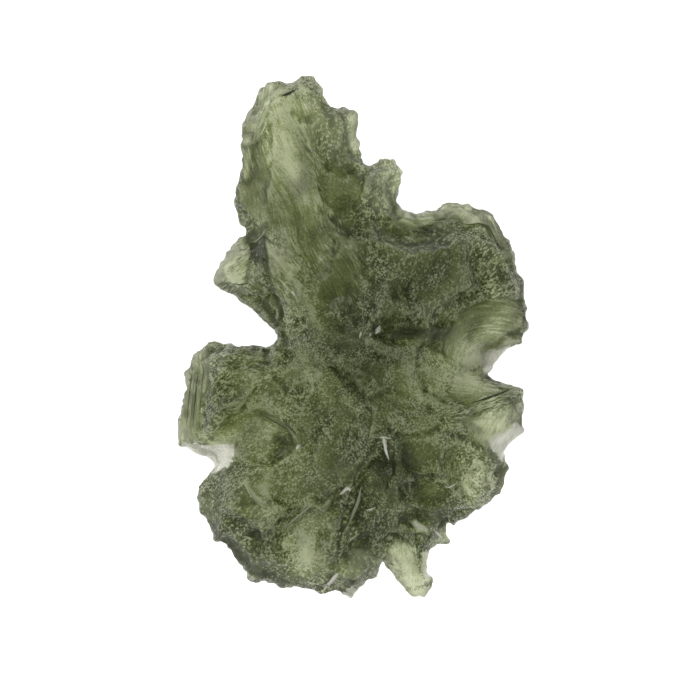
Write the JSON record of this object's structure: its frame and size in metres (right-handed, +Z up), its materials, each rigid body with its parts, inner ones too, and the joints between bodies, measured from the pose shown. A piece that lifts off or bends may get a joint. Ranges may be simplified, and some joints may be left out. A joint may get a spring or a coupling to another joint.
{
  "type": "moldavite",
  "caption": "Flat ragged splinter of olive-green natural glass, deeply etched into troughs, hollows and sharp ridges, with lobes and thin flakes along its edge.",
  "frame": {"origin": "under the middle of the stone's outline, on the plane that it rests on", "axes": "+Z up, away from the face it rests on; +Y along the stone towards its tall lobe; +X across it, to the right of the tall lobe seen from above"},
  "size_m": [0.0228, 0.034, 0.008],
  "materials": {
    "moldavite": "etched natural glass, satin to frosted, see-through where it is thin"
  },
  "bodies": {
    "root": {"moldavite": "moldavite"}
  },
  "joints": []
}
